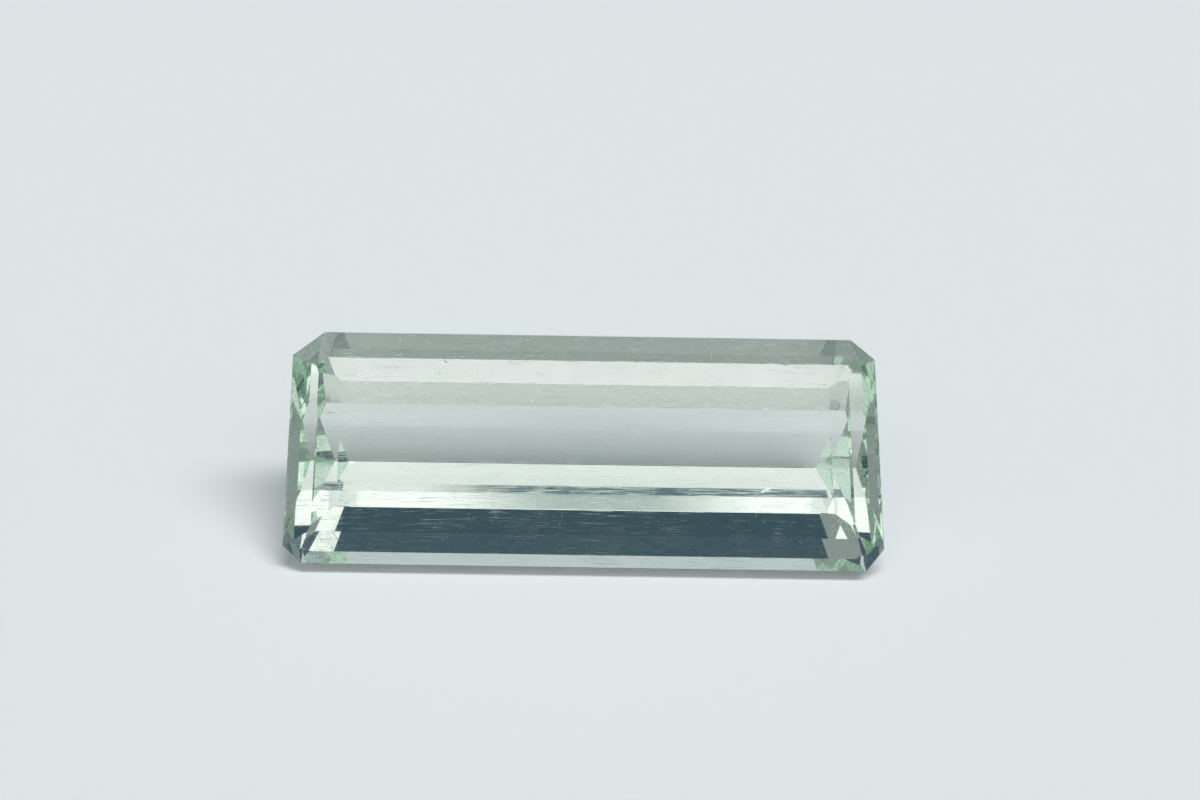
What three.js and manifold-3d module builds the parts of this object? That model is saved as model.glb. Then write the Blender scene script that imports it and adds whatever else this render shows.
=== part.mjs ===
// A pale green beryl crystal, step cut as a long octagon and lying on one front facet of its pavilion.
// Millimetres, +Z up. +X runs along the stone, -Y is the side that its table leans towards.
// The origin is on the surface that it rests on, below the middle of its outline.
import * as THREE from "three";
import { mergeVertices } from "three/addons/utils/BufferGeometryUtils.js";
import Module from "manifold-3d";

// Outline at the girdle, seen square to the table.
const LENGTH = 40.4;
const FRONT_HALF_WIDTH = 7.97;
const BACK_HALF_WIDTH = 7.98;
const GIRDLE_BAND = 0.19;
const LEFT_END_TURN = 1.2; // degrees that each end is cut out of square
const RIGHT_END_TURN = 2.6;

// What each cut corner takes off the length and off the width.
const CORNERS = {
  backLeft: { along: 2.1, across: 1.6 },
  backRight: { along: 1.6, across: 1.3 },
  frontRight: { along: 1.3, across: 1.6 },
  frontLeft: { along: 1.3, across: 1.2 },
};

// Steps of facets from the girdle up to the table. Slopes are degrees from the table's plane.
const CROWN_STEPS = {
  front: [{ slope: 32.2, height: 1.29 }, { slope: 18.3, height: 0.55 }],
  back: [{ slope: 33.1, height: 1.29 }, { slope: 17.8, height: 0.55 }],
  left: [{ slope: 36.0, height: 1.44 }, { slope: 13.6, height: 0.4 }],
  right: [{ slope: 36.7, height: 1.52 }, { slope: 12.7, height: 0.32 }],
  corner: [{ slope: 35.3, height: 1.29 }, { slope: 17, height: 0.55 }],
};

// Steps of facets from the girdle down to the keel. The last ones run on until they meet.
const PAVILION_STEPS = {
  front: [{ slope: 59.4, height: 3.16 }, { slope: 49.1, height: 4.2 }, { slope: 38.0, height: 0 }],
  back: [{ slope: 59.6, height: 3.1 }, { slope: 49.3, height: 3.02 }, { slope: 37.9, height: 0 }],
  left: [{ slope: 75, height: 3.1 }, { slope: 67.5, height: 3.5 }, { slope: 59.5, height: 0 }],
  right: [{ slope: 74, height: 3.1 }, { slope: 67, height: 3.5 }, { slope: 58, height: 0 }],
  corner: [{ slope: 64, height: 3.1 }, { slope: 52, height: 3.5 }, { slope: 50, height: 0 }],
};
const RESTING_FACET = PAVILION_STEPS.front[1];

const COLOUR = { color: 0xd5e6da, roughness: 0.04, metalness: 0 };
const BLANK = 60; // the rough block and the tool that cuts it are cubes of this size

const wasm = await Module();
wasm.setup();

function toSolid(geometry) {
  const bare = geometry.clone();
  bare.deleteAttribute("normal");
  bare.deleteAttribute("uv");
  const merged = mergeVertices(bare);
  return new wasm.Manifold(new wasm.Mesh({
    numProp: 3,
    vertProperties: new Float32Array(merged.attributes.position.array),
    triVerts: new Uint32Array(merged.index.array),
  }));
}

function toGeometry(solid) {
  const mesh = solid.getMesh();
  const geometry = new THREE.BufferGeometry();
  geometry.setAttribute("position", new THREE.BufferAttribute(new Float32Array(mesh.vertProperties), 3));
  geometry.setIndex(new THREE.BufferAttribute(new Uint32Array(mesh.triVerts), 1));
  const flat = geometry.toNonIndexed();
  flat.computeVertexNormals();
  return flat;
}

// A point at a distance from the stone's upright axis, in the direction that a facet faces.
function outward(azimuth, distance, height) {
  return new THREE.Vector3(Math.cos(azimuth) * distance, Math.sin(azimuth) * distance, height);
}

function grind(solid, normal, point) {
  const tool = new THREE.BoxGeometry(BLANK, BLANK, BLANK);
  tool.translate(0, 0, BLANK / 2);
  tool.applyQuaternion(new THREE.Quaternion().setFromUnitVectors(new THREE.Vector3(0, 0, 1), normal));
  tool.translate(point.x, point.y, point.z);
  return solid.subtract(toSolid(tool));
}

// The eight directions that the steps face, each with its distance from the middle at the girdle.
function directions() {
  const left = Math.PI - THREE.MathUtils.degToRad(LEFT_END_TURN);
  const right = THREE.MathUtils.degToRad(RIGHT_END_TURN);
  const rightEnd = { kind: "right", azimuth: right, distance: (LENGTH / 2) * Math.cos(right) };
  const leftEnd = { kind: "left", azimuth: left, distance: (LENGTH / 2) * -Math.cos(left) };
  const list = [
    { kind: "front", azimuth: -Math.PI / 2, distance: FRONT_HALF_WIDTH },
    { kind: "back", azimuth: Math.PI / 2, distance: BACK_HALF_WIDTH },
    rightEnd,
    leftEnd,
  ];
  for (const [name, { along, across }] of Object.entries(CORNERS)) {
    const x = name.endsWith("Right") ? 1 : -1;
    const y = name.startsWith("back") ? 1 : -1;
    const end = x > 0 ? rightEnd : leftEnd;
    const halfWidth = y > 0 ? BACK_HALF_WIDTH : FRONT_HALF_WIDTH;
    const tip = (end.distance - Math.sin(end.azimuth) * y * halfWidth) / Math.abs(Math.cos(end.azimuth));
    const azimuth = Math.atan2(y * along, x * across);
    const distance = Math.cos(azimuth) * x * (tip - along) + Math.sin(azimuth) * y * halfWidth;
    list.push({ kind: "corner", azimuth, distance });
  }
  return list;
}

// Cuts one flight of steps in all eight directions, up to the table or down to the keel.
function cutSteps(blank, flight, up) {
  let stone = blank;
  for (const { kind, azimuth, distance } of directions()) {
    let reach = distance;
    let height = up * GIRDLE_BAND / 2;
    for (const step of flight[kind]) {
      const slope = THREE.MathUtils.degToRad(step.slope);
      const normal = outward(azimuth, Math.sin(slope), up * Math.cos(slope));
      stone = grind(stone, normal, outward(azimuth, reach, height));
      reach -= step.height / Math.tan(slope);
      height += up * step.height;
    }
  }
  return stone;
}

function cutStone() {
  let stone = toSolid(new THREE.BoxGeometry(BLANK, BLANK, BLANK));
  for (const { azimuth, distance } of directions()) {
    stone = grind(stone, outward(azimuth, 1, 0), outward(azimuth, distance, 0));
  }
  stone = cutSteps(stone, CROWN_STEPS, 1);
  stone = cutSteps(stone, PAVILION_STEPS, -1);
  const table = GIRDLE_BAND / 2 + CROWN_STEPS.back[0].height + CROWN_STEPS.back[1].height;
  return grind(stone, new THREE.Vector3(0, 0, 1), new THREE.Vector3(0, 0, table));
}

// Turns the stone until its resting facet is level, and sets that facet on the surface.
function layDown(stone) {
  stone.rotation.x = THREE.MathUtils.degToRad(RESTING_FACET.slope);
  const box = new THREE.Box3().setFromObject(stone, true);
  const middle = box.getCenter(new THREE.Vector3());
  stone.position.set(-middle.x, -middle.y, -box.min.z);
}

const crystal = new THREE.Mesh(toGeometry(cutStone()), new THREE.MeshStandardMaterial(COLOUR));
crystal.name = "beryl_crystal";
layDown(crystal);

const part = new THREE.Group();
part.add(crystal);
export default part;
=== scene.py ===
"""Looks, light and camera for the step cut beryl crystal. Metres, +Z up, the camera on the -Y side."""

import math

import bmesh
import bpy
from mathutils import Matrix, Vector


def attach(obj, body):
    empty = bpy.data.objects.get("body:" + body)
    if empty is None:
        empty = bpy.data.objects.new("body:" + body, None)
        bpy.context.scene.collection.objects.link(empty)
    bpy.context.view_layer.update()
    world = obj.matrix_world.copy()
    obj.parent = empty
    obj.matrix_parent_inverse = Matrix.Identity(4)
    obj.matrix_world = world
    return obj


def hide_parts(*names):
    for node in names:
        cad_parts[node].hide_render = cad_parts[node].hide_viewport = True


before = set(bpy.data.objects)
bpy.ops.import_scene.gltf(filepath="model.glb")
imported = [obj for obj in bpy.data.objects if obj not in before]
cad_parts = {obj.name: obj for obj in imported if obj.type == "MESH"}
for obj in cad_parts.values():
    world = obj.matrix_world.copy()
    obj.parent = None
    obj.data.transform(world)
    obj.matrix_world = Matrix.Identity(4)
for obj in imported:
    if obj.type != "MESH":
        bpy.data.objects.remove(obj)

MM = 0.001

# The stone's shape. Corners nearer than the weld distance are one point, and faces that differ by less than
# the flat angle, in degrees, are one facet.
WELD_DISTANCE = 0.002 * MM
FLAT_ANGLE = 0.3
DIRECTION_DIGITS = 2  # faces of one facet have directions that agree to this many digits
EDGE_WEAR = 0.03 * MM

# The clear mineral. For each metre it absorbs one minus the tint, times the density, of the light.
BERYL_IOR = 1.577
BERYL_TINT = (0.67, 0.92, 0.69)
BERYL_DENSITY = 16.0

# How often light may turn, and the most that one ray of light which has turned adds to the picture.
LIGHT_BOUNCES = 24
BRIGHTEST_BOUNCE = 1.05

# Marks in the polish: dashes along the stone and specks of dust, in patches.
DASHES_PER_METRE = (420, 20000, 20000)
DASH_LEVELS = (0.57, 0.72)
SPECKS_PER_METRE = 2300
SPECK_RADII = (0.05, 0.10)
PATCHES_PER_METRE = 260
PATCH_LEVELS = (0.35, 0.65)
NOISE_DETAIL = 2.0
MARK_ROUGHNESS = 0.5

# Single scratches in the crown: middle in millimetres, degrees that it rises to the right, half its length.
SCRATCHES = [
    ((10.6, -5.8, 2.8), 62, 0.5),
    ((-4.1, -5.9, 2.5), -11, 0.8),
    ((-9.6, 1.9, 12.1), -30, 0.2),
    ((13.3, 2.1, 12.2), -8, 0.5),
    ((-17.3, -0.8, 9.5), 8, 0.35),
]
SCRATCH_HALF_WIDTH = 0.04 * MM
SCRATCH_DEPTH = 0.6 * MM
SCRATCH_FADE = (0.5, 1.0)  # the shares of its size where a scratch starts to fade and is gone
SCRATCH_ROUGHNESS = 0.95

# The camera looks at the middle of the table, a little off the frame's centre.
LOOK_DOWN = 32.6
DISTANCE = 175.8 * MM
FOCAL_LENGTH = 78.0
SENSOR_WIDTH = 36.0
AIM_UP = 1.036
AIM_RIGHT = -0.292
ROLL = 0.87
NEAREST_SEEN = 10 * MM

# The studio as the stone sees it: patches of its sky, each over the ones before it. A patch has its
# limits to the back and to the right in degrees from straight up, the width of its soft edge and a colour.
ROOM_COLOUR = (0.25, 0.28, 0.285)
STUDIO_PATCHES = [
    ((3, 74), (-70, 70), 6, (0.01, 0.05, 0.075)),  # dark ceiling at the back
    ((76, 96), (-96, 96), 6, (0.52, 0.59, 0.60)),  # pale strip low down at the back
    ((-37, -17), (-30, 40), 4, (0.80, 0.83, 0.83)),  # pale rim of the soft box
    ((-35, -28), (-3, 14), 3, (0.06, 0.13, 0.15)),  # gap between the soft box and the panel
    ((-53, -31.4), (-42, 48), 0.3, (1.18, 1.19, 1.19)),  # white panel on the camera's side
    ((-52, -41), (-3, 4), 5, (0.45, 0.52, 0.52)),  # grey upright in front of the panel
    ((-17, 2), (-7, 42), 5, (8.5, 8.6, 8.6)),  # soft box overhead
]
FLOOR_COLOUR = (0.80, 0.83, 0.835, 1)
FLOOR_SIZE = 4.0
FLOOR_GAP = 0.03 * MM
FLOOR_ROUGHNESS = 0.9
FLOOR_SHINE = 0.1

# Where a mix node has its two colours and its result.
MIX_COLOURS = (6, 7)
MIX_RESULT = 2


class Nodes:
    """A node tree with short ways to add and join its nodes."""

    def __init__(self, owner):
        owner.use_nodes = True
        self.tree = owner.node_tree
        self.tree.nodes.clear()

    def add(self, kind, settings=None, **inputs):
        node = self.tree.nodes.new(kind)
        for name, value in (settings or {}).items():
            setattr(node, name, value)
        for name, value in inputs.items():
            self.feed(node.inputs[name.replace("_", " ")], value)
        return node

    def feed(self, socket, value):
        if isinstance(value, bpy.types.NodeSocket):
            self.tree.links.new(value, socket)
        else:
            socket.default_value = value

    def math(self, operation, first, second=0.0):
        node = self.add("ShaderNodeMath", {"operation": operation})
        self.feed(node.inputs[0], first)
        self.feed(node.inputs[1], second)
        return node.outputs[0]

    def ramp(self, value, low, high, start=0.0, end=1.0):
        node = self.add("ShaderNodeMapRange", {"interpolation_type": "SMOOTHSTEP"}, Value=value)
        for name, number in (("From Min", low), ("From Max", high), ("To Min", start), ("To Max", end)):
            node.inputs[name].default_value = number
        return node.outputs[0]

    def mix(self, share, first, second):
        """The first colour, going over to the second as share goes to 1."""
        node = self.add("ShaderNodeMix", {"data_type": "RGBA"})
        self.feed(node.inputs[0], share)
        for index, colour in zip(MIX_COLOURS, (first, second)):
            self.feed(node.inputs[index], colour)
        return node.outputs[MIX_RESULT]

    def window(self, value, limits, soft):
        """1 between the limits, falling to 0 over soft degrees at each."""
        low, high = limits
        rise = self.ramp(value, low - soft / 2, low + soft / 2)
        fall = self.ramp(value, high - soft / 2, high + soft / 2, 1.0, 0.0)
        return self.math("MULTIPLY", rise, fall)

    def patch(self, first, first_limits, second, second_limits, soft):
        """1 inside a soft-edged four-sided patch of the sky."""
        across = self.window(first, first_limits, soft)
        return self.math("MULTIPLY", across, self.window(second, second_limits, soft))


def worn_stone(node):
    """The CAD stone with its flat facets whole and every facet edge worn to a narrow face."""
    shape = bmesh.new()
    shape.from_mesh(node.data)
    bmesh.ops.remove_doubles(shape, verts=shape.verts, dist=WELD_DISTANCE)
    bmesh.ops.dissolve_limit(shape, angle_limit=math.radians(FLAT_ANGLE),
                             verts=shape.verts, edges=shape.edges)
    bmesh.ops.bevel(shape, geom=shape.edges, offset=EDGE_WEAR, offset_type="OFFSET", segments=1,
                    affect="EDGES", clamp_overlap=True)
    bmesh.ops.recalc_face_normals(shape, faces=shape.faces)
    mesh = bpy.data.meshes.new("beryl_stone")
    shape.to_mesh(mesh)
    shape.free()
    stone = bpy.data.objects.new("beryl_stone", mesh)
    bpy.context.scene.collection.objects.link(stone)
    return stone


def scratch(nodes, place, middle, rise, half_length):
    """1 inside a long thin shape that reaches a little way into the stone."""
    inside = nodes.add("ShaderNodeMapping", {"vector_type": "TEXTURE"}, Vector=place,
                       Location=[value * MM for value in middle],
                       Rotation=(0, -math.radians(rise), 0),
                       Scale=(half_length * MM, SCRATCH_DEPTH, SCRATCH_HALF_WIDTH))
    reach = nodes.add("ShaderNodeVectorMath", {"operation": "LENGTH"}, Vector=inside.outputs[0])
    return nodes.ramp(reach.outputs["Value"], *SCRATCH_FADE, 1.0, 0.0)


def polish_roughness(nodes):
    """The roughness of the polish: none but for the fine marks and scratches that handling has left."""
    place = nodes.add("ShaderNodeTexCoord").outputs["Object"]
    along = nodes.add("ShaderNodeMapping", Vector=place, Scale=DASHES_PER_METRE)
    dash_noise = nodes.add("ShaderNodeTexNoise", Vector=along.outputs[0], Scale=1.0, Detail=NOISE_DETAIL)
    dashes = nodes.ramp(dash_noise.outputs[0], *DASH_LEVELS)
    speck_cells = nodes.add("ShaderNodeTexVoronoi", Vector=place, Scale=SPECKS_PER_METRE)
    specks = nodes.ramp(speck_cells.outputs["Distance"], *SPECK_RADII, 1.0, 0.0)
    patch_noise = nodes.add("ShaderNodeTexNoise", Vector=place, Scale=PATCHES_PER_METRE, Detail=NOISE_DETAIL)
    patches = nodes.ramp(patch_noise.outputs[0], *PATCH_LEVELS)
    marks = nodes.math("MAXIMUM", nodes.math("MULTIPLY", dashes, patches), specks)
    roughness = nodes.math("MULTIPLY", marks, MARK_ROUGHNESS)
    for middle, rise, half_length in SCRATCHES:
        worn = nodes.math("MULTIPLY", scratch(nodes, place, middle, rise, half_length), SCRATCH_ROUGHNESS)
        roughness = nodes.math("MAXIMUM", roughness, worn)
    return roughness


def beryl_material():
    material = bpy.data.materials.new("beryl")
    nodes = Nodes(material)
    surface = nodes.add("ShaderNodeBsdfPrincipled")
    surface.inputs["Base Color"].default_value = (1, 1, 1, 1)
    nodes.feed(surface.inputs["Roughness"], polish_roughness(nodes))
    surface.inputs["IOR"].default_value = BERYL_IOR
    surface.inputs["Transmission Weight"].default_value = 1.0
    tint = nodes.add("ShaderNodeVolumeAbsorption")
    tint.inputs["Color"].default_value = (*BERYL_TINT, 1)
    tint.inputs["Density"].default_value = BERYL_DENSITY
    output = nodes.add("ShaderNodeOutputMaterial")
    nodes.feed(output.inputs["Surface"], surface.outputs[0])
    nodes.feed(output.inputs["Volume"], tint.outputs[0])
    return material


def floor():
    bpy.ops.mesh.primitive_plane_add(size=FLOOR_SIZE, location=(0, 0, -FLOOR_GAP))
    plane = bpy.context.object
    plane.name = "floor"
    material = bpy.data.materials.new("floor")
    nodes = Nodes(material)
    surface = nodes.add("ShaderNodeBsdfPrincipled")
    surface.inputs["Base Color"].default_value = FLOOR_COLOUR
    surface.inputs["Roughness"].default_value = FLOOR_ROUGHNESS
    surface.inputs["Specular IOR Level"].default_value = FLOOR_SHINE
    output = nodes.add("ShaderNodeOutputMaterial")
    nodes.feed(output.inputs["Surface"], surface.outputs[0])
    plane.data.materials.append(material)


def studio():
    """A dim room with a soft box overhead, a white panel in front and a dark ceiling at the back."""
    world = bpy.data.worlds.new("studio")
    bpy.context.scene.world = world
    nodes = Nodes(world)
    place = nodes.add("ShaderNodeTexCoord")
    split = nodes.add("ShaderNodeSeparateXYZ", Vector=place.outputs["Generated"])
    right, back, up = split.outputs
    to_back = nodes.math("MULTIPLY", nodes.math("ARCTAN2", back, up), math.degrees(1))
    to_right = nodes.math("MULTIPLY", nodes.math("ARCTAN2", right, up), math.degrees(1))
    colour = (*ROOM_COLOUR, 1)
    for back_limits, right_limits, soft, patch_colour in STUDIO_PATCHES:
        share = nodes.patch(to_back, back_limits, to_right, right_limits, soft)
        colour = nodes.mix(share, colour, (*patch_colour, 1))
    background = nodes.add("ShaderNodeBackground", Color=colour)
    output = nodes.add("ShaderNodeOutputWorld")
    nodes.feed(output.inputs["Surface"], background.outputs[0])


def table_centre(node):
    """The middle of the widest flat facet, which is the table."""
    widest = {}
    for face in node.data.polygons:
        key = tuple(round(v, DIRECTION_DIGITS) for v in face.normal)
        widest.setdefault(key, []).append(face)
    table = max(widest.values(), key=lambda faces: sum(f.area for f in faces))
    corners = [node.data.vertices[v].co for f in table for v in f.vertices]
    low = Vector(min(c[i] for c in corners) for i in range(3))
    high = Vector(max(c[i] for c in corners) for i in range(3))
    return (low + high) / 2


def camera(target):
    data = bpy.data.cameras.new("camera")
    data.sensor_width = SENSOR_WIDTH
    data.lens = FOCAL_LENGTH
    data.clip_start = NEAREST_SEEN
    seen = bpy.data.objects.new("camera", data)
    bpy.context.scene.collection.objects.link(seen)
    down = math.radians(LOOK_DOWN)
    view = Vector((0, math.cos(down), -math.sin(down)))
    turn = view.to_track_quat("-Z", "Y").to_matrix().to_4x4()
    turn @= Matrix.Rotation(math.radians(AIM_UP), 4, "X")
    turn @= Matrix.Rotation(math.radians(AIM_RIGHT), 4, "Y")
    turn @= Matrix.Rotation(math.radians(ROLL), 4, "Z")
    turn.translation = target - view * DISTANCE
    seen.matrix_world = turn
    bpy.context.scene.camera = seen


def picture():
    """Plain colours, and enough turns of the light for the facets to show each other."""
    scene = bpy.context.scene
    scene.view_settings.view_transform = "Standard"
    scene.cycles.sample_clamp_indirect = BRIGHTEST_BOUNCE
    scene.cycles.max_bounces = LIGHT_BOUNCES
    scene.cycles.glossy_bounces = LIGHT_BOUNCES
    scene.cycles.transmission_bounces = LIGHT_BOUNCES


def main():
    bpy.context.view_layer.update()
    cad_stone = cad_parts["beryl_crystal"]
    stone = worn_stone(cad_stone)
    stone.data.materials.append(beryl_material())
    target = table_centre(cad_stone)
    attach(stone, "root")
    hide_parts("beryl_crystal")
    floor()
    studio()
    camera(target)
    picture()


main()
